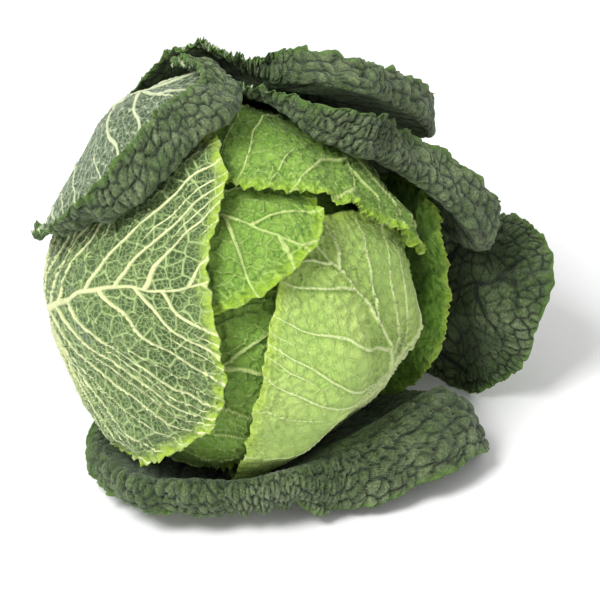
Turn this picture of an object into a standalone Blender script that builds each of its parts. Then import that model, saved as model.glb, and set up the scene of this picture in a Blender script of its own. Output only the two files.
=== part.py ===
"""A savoy cabbage as picked: a round head, its cut stem and fourteen leaves, each a solid of its own.

The head lies on its side. Its centre is above the origin, the stem points down and back, and the
outer leaf at the bottom is pressed flat where the cabbage rests. Every leaf is a sheet on the
head's ball: a fan of rings and spokes about the leaf's middle. Leaves are laid on from the inside
to the outside, and each one settles on those below it.
"""
import math

import bpy
import numpy as np

MM = 0.001

# The head's ball, its height and the way its crown looks
HEAD_HEIGHT = 89 * MM
HEAD_RADIUS = 88 * MM
CROWN_LIFT = math.radians(32)
CROWN_TURN = math.radians(35)

# The dense heart inside the leaves: lower at the front, where most leaves lie over one another
HEART_RADIUS = 72 * MM
HEART_FLAT = 10 * MM
HEART_FLAT_POLAR = 150
HEART_FLAT_AZIMUTH = -40
HEART_RINGS = 16
HEART_SPOKES = 32
HEART_FOLD = 0.8 * MM
HEART_CLEAR = 3.2 * MM

# The cut stem: a cone as wide as the leaves' feet leave free, cut off behind the head
STEM_ANGLE = math.radians(11)
FOOT_ANGLE = math.radians(12.5)
STEM_CUT = 112 * MM
STEM_CHAMFER = 2.5 * MM
STEM_SPOKES = 24

# The leaf blade
BLADE = 1.0 * MM
GAP = 1.9 * MM
RIDGE_SIDE = 16 * MM
MIDRIB_TIP = 0.6 * MM
OUTER_MIDRIB = 3.0
INNER_MIDRIB = 1.2
RIB = 0.4 * MM
BLISTER = 0.3 * MM
RIM_BLISTER = 0.9 * MM
NARROW_RIM = 6 * MM
WIDE_CUFF = 24 * MM
OUTLINE_POWER = 2.4
FOOT_HALF_WIDTH = 0.42

# How softly a leaf bridges the hollows below it, and the floor
BRIDGE_RADIUS = 25 * MM
REACH = math.radians(22)
FLOOR_STEP = 3.2 * MM
DRAPE_ROUNDS = 10

SETTLE_RINGS = 15
SETTLE_SPOKES = 48
OBSTACLE_RINGS = 24
OBSTACLE_SPOKES = 72


def head_axes():
    """Returns three unit directions: right of the crown, up beside it, and out of the crown."""
    ahead = np.array([0.0, -math.cos(CROWN_LIFT), math.sin(CROWN_LIFT)])
    up = np.array([0.0, math.sin(CROWN_LIFT), math.cos(CROWN_LIFT)])
    right = np.array([1.0, 0.0, 0.0])
    crown = math.cos(CROWN_TURN) * ahead + math.sin(CROWN_TURN) * right
    beside = math.cos(CROWN_TURN) * right - math.sin(CROWN_TURN) * ahead
    return beside, up, crown


BESIDE, UP, CROWN = head_axes()
CENTRE = np.array([0.0, 0.0, HEAD_HEIGHT])


def direction(polar, azimuth):
    """Returns the unit direction at a polar angle from the stem and an azimuth round it, in degrees."""
    p = math.radians(polar)
    a = math.radians(azimuth)
    across = math.cos(a) * BESIDE + math.sin(a) * UP
    return -math.cos(p) * CROWN + math.sin(p) * across


def smooth(x):
    """Returns 0 below 0, 1 above 1 and an even S between them."""
    x = np.clip(x, 0.0, 1.0)
    return x * x * (3 - 2 * x)


def heart_radius(d):
    """Returns the heart's radius along unit directions."""
    toward_flat = d @ direction(HEART_FLAT_POLAR, HEART_FLAT_AZIMUTH)
    return HEART_RADIUS - HEART_FLAT * smooth((toward_flat + 0.1) / 0.9)


def four(value):
    """Returns a value for a leaf's tip, right side, left side and base."""
    if isinstance(value, tuple):
        return value
    return (value,) * 4


def around(psi, values):
    """Blends a leaf's four values round its middle."""
    tip, right, left, base = values
    c = np.cos(psi)
    s = np.sin(psi)
    return c * c * np.where(c > 0, tip, base) + s * s * np.where(s > 0, right, left)


class Leaf:
    """One leaf: where its middle lies on the head, how far it reaches and how its rim turns."""

    def __init__(self, name, azimuth, middle, reach, cuff=8, turn=10, lift=0, lean=0,
                 bend=0.6, ruffle=1.0, waves=12, spokes=36, seed=0, rests=False,
                 midrib=OUTER_MIDRIB, power=OUTLINE_POWER, colour=(0.3, 0.5, 0.12)):
        self.name = name
        self.power = power
        self.colour = colour
        self.rests = rests
        self.midrib_foot = midrib * MM
        self.spokes = spokes
        self.reach = tuple(v * MM for v in reach)
        self.cuff = tuple(v * MM for v in four(cuff))
        self.turn = tuple(math.radians(v) for v in four(turn))
        self.lift = tuple(v * MM for v in four(lift))
        self.bend = bend
        self.ruffle = ruffle * MM
        self.waves = waves
        phases = np.random.default_rng(seed).uniform(0, 2 * math.pi, 10)
        self.outline_phases = phases[:4]
        self.wave_phases = phases[4:]
        self.middle = direction(middle, azimuth)
        p = math.radians(middle)
        a = math.radians(azimuth)
        across = math.cos(a) * BESIDE + math.sin(a) * UP
        away = math.sin(p) * CROWN + math.cos(p) * across
        sideways = -math.sin(a) * BESIDE + math.cos(a) * UP
        l = math.radians(lean)
        self.fore = math.cos(l) * away + math.sin(l) * sideways
        self.right = -math.sin(l) * away + math.cos(l) * sideways
        self.foot_psi = math.pi + math.atan2(-math.sin(l), math.cos(l))
        self.foot = (p - FOOT_ANGLE) * HEAD_RADIUS

    def from_foot(self, psi):
        """Returns how far psi is from the leaf's foot, 0 to pi."""
        return np.abs((psi - self.foot_psi + math.pi) % (2 * math.pi) - math.pi)

    def outline(self, psi):
        """Returns the way from the middle to the margin: a rounded oval with a foot to the stem.

        A high power gives the tip's half broad shoulders.
        """
        tip, right, left, base = self.reach
        c = np.cos(psi)
        s = np.sin(psi)
        end = np.where(c > 0, tip, base)
        side = np.where(s > 0, right, left)
        power = np.where(c > 0, self.power, OUTLINE_POWER)
        length = (np.abs(c / end) ** power + np.abs(s / side) ** power) ** (-1 / power)
        for k, phase in enumerate(self.outline_phases):
            length = length * (1 + 0.022 * np.sin((k + 2) * psi + phase))
        foot = smooth((FOOT_HALF_WIDTH - self.from_foot(psi)) / 0.3)
        return length * (1 - foot) + self.foot * foot

    def free(self, psi):
        """Returns 1 where the margin is free and 0 beside the foot."""
        return smooth((self.from_foot(psi) - 0.55) / 0.9)

    def cuff_width(self, psi):
        """Returns the width of the rim that turns outward."""
        return np.minimum(around(psi, self.cuff) * self.free(psi), 0.9 * self.outline(psi))

    def turned(self, share, psi):
        """Returns the angle that the rim has turned by, at a share of its width."""
        return around(psi, self.turn) * self.free(psi) * smooth(share / self.bend)

    def shares(self, rho, psi):
        """Returns the way out over the ball, the rim's width and the share of it passed."""
        length = self.outline(psi)
        width = self.cuff_width(psi)
        way = rho * length
        over = np.minimum(way, length - width)
        share = np.where(width > 1e-6, (way - over) / np.maximum(width, 1e-6), 0.0)
        return over, width, share

    def facing(self, way, psi):
        """Returns the ball's outward direction and the leaf's outgoing tangent there."""
        radial = np.cos(psi)[..., None] * self.fore + np.sin(psi)[..., None] * self.right
        a = (way / HEAD_RADIUS)[..., None]
        return np.cos(a) * self.middle + np.sin(a) * radial, np.cos(a) * radial - np.sin(a) * self.middle

    def wave(self, rho, psi):
        """Returns the ruffles' height: two waves round the leaf that grow towards the margin."""
        p = self.wave_phases
        warp = psi + 0.10 * np.sin(3 * psi + p[0]) + 0.06 * np.sin(5 * psi + p[1])
        waves = np.sin(self.waves * warp + p[2]) + 0.5 * np.sin(round(1.6 * self.waves) * warp + p[3])
        return self.ruffle * smooth((rho - 0.45) / 0.55) * self.free(psi) * waves

    def sheet(self, rho, psi, height, push):
        """Returns the blade's mid-surface about the head's centre, and its outward normals.

        Up to the rim a point is its direction times the settled height. Along the rim it walks on
        in small steps, tangent times cosine plus normal times sine of the angle turned so far.
        """
        over, width, share = self.shares(rho, psi)
        facing, tangent = self.facing(over, psi)
        reached = over / self.outline(psi)
        along = np.zeros_like(width)
        out = np.zeros_like(width)
        steps = 24
        for i in range(steps):
            angle = self.turned((i + 0.5) / steps * share, psi)
            along += np.cos(angle) * width * share / steps
            out += np.sin(angle) * width * share / steps
        angle = self.turned(share, psi)[..., None]
        points = height(reached, psi)[..., None] * facing
        points = points + along[..., None] * tangent + out[..., None] * facing
        normals = np.cos(angle) * facing - np.sin(angle) * tangent
        points = points + self.wave(rho, psi)[..., None] * normals
        return points + push(rho, psi)[..., None] * facing, normals

    def lift_at(self, rho, psi):
        """Returns how far the leaf stands off beyond what it rests on."""
        return around(psi, self.lift) * smooth((rho - 0.2) / 0.8)

    def midrib(self, rho, psi):
        """Returns the midrib's height: thick at the foot, thin at the tip, sloping to both sides."""
        x = rho * self.outline(psi) * np.cos(psi - self.foot_psi)
        y = rho * self.outline(psi) * np.sin(psi - self.foot_psi)
        toward_foot = smooth((x + self.reach[0]) / (self.reach[0] + self.foot))
        top = MIDRIB_TIP + (self.midrib_foot - MIDRIB_TIP) * toward_foot ** 2
        return top * np.clip(1 - np.abs(y) / RIDGE_SIDE, 0, 1)


def grid_of(rings, spokes):
    """Returns a full grid of shares of the way out and angles round a leaf."""
    rho = np.linspace(0, 1, rings)[:, None] * np.ones((1, spokes))
    psi = np.ones((rings, 1)) * (np.arange(spokes) * 2 * math.pi / spokes)[None]
    return rho, psi


def cubic_weights(f):
    """Returns the weights of a smooth curve through four neighbours, read between the middle two."""
    return (-0.5 * f + f * f - 0.5 * f ** 3, 1 - 2.5 * f * f + 1.5 * f ** 3,
            0.5 * f + 2 * f * f - 1.5 * f ** 3, -0.5 * f * f + 0.5 * f ** 3)


def reader(field):
    """Returns a function that reads a field of rings and spokes anywhere between its points."""
    rings, spokes = field.shape

    def read(rho, psi):
        u = np.clip(rho, 0, 1) * (rings - 1)
        v = psi / (2 * math.pi) * spokes
        ring = np.clip(np.floor(u).astype(int), 0, rings - 2)
        spoke = np.floor(v).astype(int)
        ring_weights = cubic_weights(u - ring)
        spoke_weights = cubic_weights(v - spoke)
        total = np.zeros_like(u)
        for i in range(4):
            row = ring + i - 1
            opposite = np.where(row < 0, spokes // 2, 0)
            row = np.clip(np.abs(row), 0, rings - 1)
            for j in range(4):
                column = (spoke + j - 1 + opposite) % spokes
                total = total + ring_weights[i] * spoke_weights[j] * field[row, column]
        return total

    return read


def height_needed(d, placed, margin):
    """Returns the least radius along directions d that clears the heart and all placed leaves."""
    need = heart_radius(d) + HEART_CLEAR + margin
    if placed is None:
        return need
    placed_d, placed_r = placed
    for start in range(0, len(d), 256):
        part = slice(start, start + 256)
        bend = 2 * (1 - np.clip(d[part] @ placed_d.T, -1, 1))
        tent = placed_r[None] + margin - HEAD_RADIUS ** 2 * bend / (2 * BRIDGE_RADIUS)
        tent[bend > REACH ** 2] = 0
        need[part] = np.maximum(need[part], tent.max(1))
    return need


def settle(leaf, placed):
    """Returns readers of the leaf's height over the ball and of the push its rim needs."""
    rho, psi = grid_of(SETTLE_RINGS, SETTLE_SPOKES)
    margin = GAP + BLADE / 2 + BLISTER
    facing, _ = leaf.facing(rho * leaf.outline(psi), psi)
    height = height_needed(facing.reshape(-1, 3), placed, margin).reshape(rho.shape)
    height = height + leaf.lift_at(rho, psi) + 1.5 * leaf.ruffle * smooth((rho - 0.45) / 0.55)
    height = drape(height)
    none = reader(np.zeros_like(height))
    points, _ = leaf.sheet(rho, psi, reader(height), none)
    r = np.linalg.norm(points, axis=2)
    need = height_needed((points / r[..., None]).reshape(-1, 3), placed, margin).reshape(r.shape)
    short = np.maximum(need + leaf.ruffle - r, 0)
    _, _, share = leaf.shares(rho, psi)
    upright = leaf.turned(share, psi) > math.radians(60)
    push = np.zeros_like(short)
    for ring in range(1, len(push)):
        inner = share[ring] <= 0
        here = np.where(upright[ring], push[ring - 1], np.maximum(short[ring], push[ring - 1]))
        push[ring] = np.where(inner, 0, here)
    push = soften(push)
    return reader(height), reader(push)


def drape(need):
    """Returns a sheet stretched over the heights needed: it bridges dips and keeps every peak."""
    need[0] = need[0].max()
    height = need.copy()
    for _ in range(DRAPE_ROUNDS):
        beside = (np.roll(height, 1, 1) + np.roll(height, -1, 1)) / 2
        inward = np.concatenate([np.full((1, height.shape[1]), height[1].mean()), height[:-1]])
        outward = np.concatenate([height[1:], height[-1:]])
        height = np.maximum(need, (beside + (inward + outward) / 2) / 2)
        height[0] = height[0].mean()
    return height


def soften(field):
    """Evens a field round the leaf without lowering its peaks."""
    wide = np.maximum(field, np.maximum(np.roll(field, 1, 1), np.roll(field, -1, 1)))
    return (wide + 0.5 * (np.roll(wide, 1, 1) + np.roll(wide, -1, 1))) / 2


def as_obstacles(leaf, height, push):
    """Returns directions and radii of the leaf's outer side, with its midrib and its rim."""
    rho, psi = grid_of(OBSTACLE_RINGS, OBSTACLE_SPOKES)
    points, normals = leaf.sheet(rho, psi, height, push)
    outside = BLADE / 2 + BLISTER + RIB + leaf.midrib(rho, psi)
    _, _, share = leaf.shares(rho, psi)
    rim = smooth(share * 4)[..., None] * RIM_BLISTER * normals
    both = np.concatenate([points + outside[..., None] * normals + rim, points - rim])
    both = both.reshape(-1, 3)
    r = np.linalg.norm(both, axis=1)
    return both / r[:, None], r


def above_floor(inner, outer, normals, level):
    """Presses both faces of a blade flat where they would go below its level over the floor."""
    low = HEAD_HEIGHT + inner[..., 2]
    high = HEAD_HEIGHT + outer[..., 2]
    outer_is_low = normals[..., 2] < 0
    inner_floor = np.where(outer_is_low, level + BLADE, level)
    outer_floor = np.where(outer_is_low, level, level + BLADE)
    inner[..., 2] = np.maximum(low, inner_floor)
    outer[..., 2] = np.maximum(high, outer_floor)
    return inner, outer


def leaf_rows(leaf, spokes, inner_shares, rim_shares):
    """Returns rho, psi, ring number and spoke number for each ring of a leaf's mesh."""
    rows = []
    shares = [(s, 0.0) for s in inner_shares] + [(1.0, s) for s in rim_shares]
    for ring, (inner, rim) in enumerate(shares):
        step = 2 if ring < 1 else 1
        spoke = np.arange(0, spokes, step)
        psi = leaf.foot_psi + spoke * 2 * math.pi / spokes
        length = leaf.outline(psi)
        width = np.maximum(leaf.cuff_width(psi), NARROW_RIM)
        rho = (inner * (length - width) + rim * width) / length
        rows.append((rho, psi, np.full(len(spoke), ring), spoke))
    return rows


def relief(ring, spoke, spokes, height):
    """Returns blisters and ribs, in turn over the mesh: ribs run aslant from the midrib outward."""
    from_foot = np.minimum(spoke, spokes - spoke)
    aslant = np.where(from_foot < spokes / 4, from_foot - 2 * ring, spokes // 2 - from_foot - 2 * ring)
    rib = (aslant % 4 == 0) & (ring > 0)
    blister = np.where(rib, -1.0, np.where((ring + spoke) % 2 == 0, 1.0, 0.2))
    return rib * RIB, blister * height


def leaf_faces(rows):
    """Returns the triangles of one face of the blade: a fan, then bands of equal or doubled spokes."""
    starts = [1]
    for row in rows[:-1]:
        starts.append(starts[-1] + len(row[0]))
    first = len(rows[0][0])
    faces = [(0, 1 + i, 1 + (i + 1) % first) for i in range(first)]
    for ring in range(len(rows) - 1):
        inside = len(rows[ring][0])
        outside = len(rows[ring + 1][0])
        a0 = starts[ring]
        b0 = starts[ring + 1]
        for i in range(inside):
            a = a0 + i
            a_next = a0 + (i + 1) % inside
            if outside == inside:
                b = b0 + i
                b_next = b0 + (i + 1) % outside
                faces += [(a, b, b_next), (a, b_next, a_next)]
            else:
                b = b0 + 2 * i
                b_mid = b0 + 2 * i + 1
                b_next = b0 + (2 * i + 2) % outside
                faces += [(a, b, b_mid), (a, b_mid, a_next), (a_next, b_mid, b_next)]
    return faces, starts[-1], len(rows[-1][0])


def leaf_mesh(leaf, height, push, level):
    """Returns the points and triangles of a closed leaf: inner face, outer face and margin."""
    rim_wide = max(leaf.cuff) > 12 * MM
    inner_shares = (0.3, 0.55, 0.78, 1.0) if rim_wide else (0.25, 0.45, 0.62, 0.76, 0.88, 1.0)
    rim_shares = (0.15, 0.3, 0.45, 0.7, 1.0) if rim_wide else (0.5, 1.0)
    rows = leaf_rows(leaf, leaf.spokes, inner_shares, rim_shares)
    rho = np.concatenate([[0.0]] + [row[0] for row in rows])
    psi = np.concatenate([[leaf.foot_psi]] + [row[1] for row in rows])
    ring = np.concatenate([[0]] + [row[2] + 1 for row in rows])
    spoke = np.concatenate([[0]] + [row[3] for row in rows])
    wide = smooth(leaf.cuff_width(psi) / WIDE_CUFF) * (ring > len(inner_shares))
    rib, blister = relief(ring, spoke, leaf.spokes, BLISTER + (RIM_BLISTER - BLISTER) * wide)
    points, normals = leaf.sheet(rho, psi, height, push)
    points = points + blister[:, None] * normals
    thick = BLADE / 2 + rib + leaf.midrib(rho, psi)
    inner, outer = above_floor(points - BLADE / 2 * normals, points + thick[:, None] * normals,
                               normals, level)
    faces, rim_start, rim_count = leaf_faces(rows)
    count = len(rho)
    closed = list(faces)
    closed += [(a + count, c + count, b + count) for a, b, c in faces]
    for i in range(rim_count):
        a = rim_start + i
        b = rim_start + (i + 1) % rim_count
        closed += [(a, b + count, b), (a, a + count, b + count)]
    return np.concatenate([inner, outer]), closed


def heart_mesh():
    """Returns the heart: a ball of folds and blisters, with its poles on the stem's axis."""
    polar = np.linspace(0, math.pi, HEART_RINGS + 1)[1:-1]
    azimuth = np.arange(HEART_SPOKES) * 2 * math.pi / HEART_SPOKES
    p, a = np.meshgrid(polar, azimuth, indexing="ij")
    across = np.cos(a)[..., None] * BESIDE + np.sin(a)[..., None] * UP
    d = (-np.cos(p)[..., None] * CROWN + np.sin(p)[..., None] * across).reshape(-1, 3)
    fold = HEART_FOLD * (0.6 * np.sin(5 * a + 3 * p) + 0.4 * np.sin(11 * a - 6 * p)) * np.sin(p)
    r = heart_radius(d) + fold.reshape(-1)
    points = [-CROWN * heart_radius(-CROWN), *(d * r[:, None]), CROWN * heart_radius(CROWN)]
    faces = []
    last = len(points) - 1
    for i in range(HEART_SPOKES):
        j = (i + 1) % HEART_SPOKES
        faces.append((0, 1 + j, 1 + i))
        top = 1 + (len(polar) - 1) * HEART_SPOKES
        faces.append((last, top + i, top + j))
        for ring in range(len(polar) - 1):
            a0 = 1 + ring * HEART_SPOKES
            b0 = a0 + HEART_SPOKES
            faces += [(a0 + i, a0 + j, b0 + j), (a0 + i, b0 + j, b0 + i)]
    return np.array(points), faces


def stem_mesh():
    """Returns the stem: a ribbed cone from the heart's foot out to the cut, with a chamfer."""
    start = heart_radius(-CROWN) + HEART_FOLD + 0.3 * MM
    slope = math.tan(STEM_ANGLE)
    wide = STEM_CUT * 0.88 * slope
    profile = [(start, start * slope * 0.96), (0.88 * STEM_CUT, wide),
               (STEM_CUT - STEM_CHAMFER, wide), (STEM_CUT, wide - STEM_CHAMFER)]
    points = [-CROWN * start]
    for z, r in profile:
        for i in range(STEM_SPOKES):
            a = i * 2 * math.pi / STEM_SPOKES
            ribbed = r * (1 - 0.05 * (i % 2))
            points.append(-CROWN * z + ribbed * (math.cos(a) * BESIDE + math.sin(a) * UP))
    points.append(-CROWN * STEM_CUT)
    last = len(points) - 1
    faces = []
    for i in range(STEM_SPOKES):
        j = (i + 1) % STEM_SPOKES
        faces.append((0, 1 + i, 1 + j))
        for ring in range(len(profile) - 1):
            a0 = 1 + ring * STEM_SPOKES
            b0 = a0 + STEM_SPOKES
            faces += [(a0 + i, b0 + i, b0 + j), (a0 + i, b0 + j, a0 + j)]
        top = 1 + (len(profile) - 1) * STEM_SPOKES
        faces.append((last, top + j, top + i))
    return np.array(points), faces


def material(name, colour, roughness):
    """Returns a plain plant material."""
    made = bpy.data.materials.new(name)
    made.use_nodes = True
    shader = made.node_tree.nodes["Principled BSDF"]
    shader.inputs["Base Color"].default_value = (*colour, 1.0)
    shader.inputs["Roughness"].default_value = roughness
    return made


def add_object(name, points, faces, colour, roughness=0.55):
    """Adds one solid to the scene, its points given about the origin."""
    mesh = bpy.data.meshes.new(name)
    mesh.from_pydata([tuple(p) for p in points], [], faces)
    mesh.validate()
    mesh.materials.append(material(name, colour, roughness))
    made = bpy.data.objects.new(name, mesh)
    bpy.context.scene.collection.objects.link(made)
    return made


YOUNG = (0.30, 0.50, 0.10)
PALE = (0.42, 0.60, 0.18)
MIDDLE = (0.20, 0.38, 0.07)
DARK = (0.055, 0.11, 0.04)
STEM_COLOUR = (0.72, 0.74, 0.50)

# From the inside to the outside. Angles are degrees, lengths millimetres. The first bracket is the
# reach, and four values in a bracket are for the tip, the right side, the left side and the base.
LEAVES = (
    Leaf("head_leaf_low_inner", -86, 106, (58, 62, 62, 92), ruffle=0.6, seed=1,
         midrib=INNER_MIDRIB, spokes=28, colour=YOUNG),
    Leaf("head_leaf_low_outer", -66, 106, (60, 62, 62, 92), ruffle=0.6, seed=2,
         midrib=INNER_MIDRIB, spokes=28, colour=YOUNG),
    Leaf("head_leaf_right", 22, 114, (50, 68, 60, 92), ruffle=0.6, seed=3, midrib=INNER_MIDRIB,
         spokes=34, colour=YOUNG),
    Leaf("head_leaf_left", 222, 110, (92, 66, 64, 92), turn=12, ruffle=0.8, waves=11, seed=4,
         midrib=INNER_MIDRIB, spokes=32, colour=YOUNG),
    Leaf("head_leaf_front", -51, 127, (117, 70, 74, 98), turn=6, lean=4, power=2.2, ruffle=0.6,
         seed=5, midrib=INNER_MIDRIB, spokes=46, colour=PALE),
    Leaf("head_leaf_upper_left", 152, 113, (77, 60, 56, 92), cuff=10, ruffle=1.0, seed=6,
         midrib=INNER_MIDRIB, spokes=32, colour=YOUNG),
    Leaf("head_leaf_top", 74, 112, (74, 86, 80, 92), cuff=10, turn=12, ruffle=1.0, waves=14,
         seed=7, midrib=INNER_MIDRIB, spokes=40, colour=YOUNG),
    Leaf("frill_leaf_right", -4, 92, (41, 60, 50, 80), cuff=18, turn=45, lift=(3, 3, 3, 0),
         ruffle=1.6, seed=8, midrib=INNER_MIDRIB, spokes=32, colour=MIDDLE),
    Leaf("wrapper_leaf_left", 180, 90, (76, 88, 84, 84), cuff=10, turn=8, lift=(1, 8, 1, 7),
         power=2.9, ruffle=0.8, waves=14, seed=14, spokes=42, colour=MIDDLE),
    Leaf("outer_leaf_upper_right", 60, 92, (90, 74, 101, 84), lean=-15, power=3.4,
         cuff=(34, 10, 27, 10), turn=(165, 40, 130, 20), bend=0.42, lift=(0, 0, 25, 0),
         ruffle=0.8, waves=14, seed=9, spokes=42, colour=DARK),
    Leaf("outer_leaf_upper_left", 123, 86, (88, 77, 44, 84), lean=12, power=2.8,
         cuff=(33, 20, 16, 10), turn=(170, 60, 155, 20), bend=0.4, ruffle=0.8, waves=14,
         seed=11, spokes=40, colour=DARK),
    Leaf("outer_leaf_top", 84, 90, (80, 24, 82, 84), lean=-22, power=4.0, cuff=(26, 6, 24, 10),
         turn=(165, 30, 130, 20), bend=0.4, ruffle=0.8, waves=14, seed=10, spokes=40,
         colour=DARK),
    Leaf("outer_leaf_front", -82, 88, (63, 130, 80, 84), lean=-24, cuff=(32, 60, 26, 10),
         turn=(165, 112, 165, 20), bend=0.7, lift=(0, 7, 0, 0), ruffle=0.8, waves=15, seed=12,
         rests=True, spokes=44, colour=DARK),
    Leaf("outer_leaf_right", -1, 86, (62, 42, 37, 76), lean=-21, power=2.8,
         cuff=(50, 36, 16, 10), turn=(55, 50, 20, 10), bend=1.0, lift=(7, 0, 0, 0), ruffle=0.9,
         waves=13, seed=13, rests=True, spokes=42, colour=DARK),
)


def build():
    """Clears the scene and makes the heart, the stem and the leaves, from the inside to the outside."""
    for old in list(bpy.data.objects):
        bpy.data.objects.remove(old)
    points, faces = heart_mesh()
    add_object("heart", points + CENTRE, faces, PALE)
    points, faces = stem_mesh()
    add_object("stem", points + CENTRE, faces, STEM_COLOUR)
    placed = None
    for leaf in LEAVES:
        height, push = settle(leaf, placed)
        level = 0 if leaf.rests else FLOOR_STEP
        points, faces = leaf_mesh(leaf, height, push, level)
        add_object(leaf.name, points, faces, leaf.colour)
        d, r = as_obstacles(leaf, height, push)
        placed = (d, r) if placed is None else (np.concatenate([placed[0], d]),
                                                np.concatenate([placed[1], r]))


build()
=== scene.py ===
# %% [markdown]
# # A savoy cabbage
# The solid model of the cabbage is loaded first: a heart, a cut stem and fourteen plain leaves.
# Every leaf is then made again from the same numbers, but with the fine things that a real one
# has: branching veins, a raised net, the pockets between its threads, and a crinkled margin.

# %% Load the solid model
import math

import bpy
import numpy as np
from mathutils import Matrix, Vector


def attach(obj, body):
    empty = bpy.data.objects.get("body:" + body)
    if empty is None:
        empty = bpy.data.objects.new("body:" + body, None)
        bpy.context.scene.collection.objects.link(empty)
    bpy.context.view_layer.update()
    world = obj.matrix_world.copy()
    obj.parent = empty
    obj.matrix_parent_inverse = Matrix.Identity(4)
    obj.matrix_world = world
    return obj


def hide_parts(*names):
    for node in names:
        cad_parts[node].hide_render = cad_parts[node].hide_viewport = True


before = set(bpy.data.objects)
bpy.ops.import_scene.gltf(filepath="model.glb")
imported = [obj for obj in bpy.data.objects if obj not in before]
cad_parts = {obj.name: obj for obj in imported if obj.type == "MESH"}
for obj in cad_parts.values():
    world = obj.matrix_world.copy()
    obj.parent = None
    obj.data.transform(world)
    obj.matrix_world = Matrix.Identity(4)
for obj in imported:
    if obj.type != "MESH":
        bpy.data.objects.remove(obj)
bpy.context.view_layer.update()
MM = 0.001

# %% [markdown]
# ## The ball that the leaves lie on
# A cabbage head is a ball with a stem. It lies on its side here, so its crown looks forward, up
# and to the right. Places on it are told by two angles: the polar angle, counted from the stem,
# and the azimuth round the stem's line. With them a leaf can be put down where it grew.

# %% The head's ball and its directions
HEAD_HEIGHT = 89 * MM
HEAD_RADIUS = 88 * MM
CROWN_LIFT = math.radians(32)
CROWN_TURN = math.radians(35)
CENTRE = np.array([0.0, 0.0, HEAD_HEIGHT])


def head_axes():
    """Returns three unit directions: right of the crown, up beside it, and out of the crown."""
    ahead = np.array([0.0, -math.cos(CROWN_LIFT), math.sin(CROWN_LIFT)])
    up = np.array([0.0, math.sin(CROWN_LIFT), math.cos(CROWN_LIFT)])
    right = np.array([1.0, 0.0, 0.0])
    crown = math.cos(CROWN_TURN) * ahead + math.sin(CROWN_TURN) * right
    beside = math.cos(CROWN_TURN) * right - math.sin(CROWN_TURN) * ahead
    return beside, up, crown


BESIDE, UP, CROWN = head_axes()


def direction(polar, azimuth):
    """Returns -cos(polar) times the crown plus sin(polar) times the way across at the azimuth."""
    p = math.radians(polar)
    a = math.radians(azimuth)
    across = math.cos(a) * BESIDE + math.sin(a) * UP
    return -math.cos(p) * CROWN + math.sin(p) * across


def smooth(x):
    """Returns 3 x squared minus 2 x cubed, with x kept between 0 and 1: an even S."""
    x = np.clip(x, 0.0, 1.0)
    return x * x * (3 - 2 * x)


print("crown looks along", np.round(CROWN, 2))

# %% [markdown]
# ## One leaf as a function of two numbers
# A leaf is a sheet, so two numbers say where a point of it is: rho, the share of the way from
# its middle to its margin, and psi, the angle round its middle. The sheet first follows the
# ball. Then its rim leaves the ball and walks on in small steps along a turning tangent, which
# is how the outer leaves roll their margins back.

# %% The leaf
OUTLINE_POWER = 2.4
LOBE = 0.022
FOOT_ANGLE = math.radians(12.5)
FOOT_HALF_WIDTH = 0.42
FOOT_BLEND = 0.3
HELD = 0.55
HELD_BLEND = 0.9
WIDEST_CUFF = 0.9
RIM_STEPS = 24
RIDGE_SIDE = 16 * MM
MIDRIB_TIP = 0.6 * MM
OUTER_MIDRIB = 3.0
INNER_MIDRIB = 1.2


def four(value):
    """Returns a value for a leaf's tip, right side, left side and base."""
    return value if isinstance(value, tuple) else (value,) * 4


def around(psi, values):
    """Returns cos squared times the tip's or base's value plus sin squared times a side's."""
    tip, right, left, base = values
    c = np.cos(psi)
    s = np.sin(psi)
    return c * c * np.where(c > 0, tip, base) + s * s * np.where(s > 0, right, left)


def ruffled(rho):
    """Returns how fully a leaf ruffles: 0 about its middle, growing to 1 at its margin."""
    return smooth((rho - 0.45) / 0.55)


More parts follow.
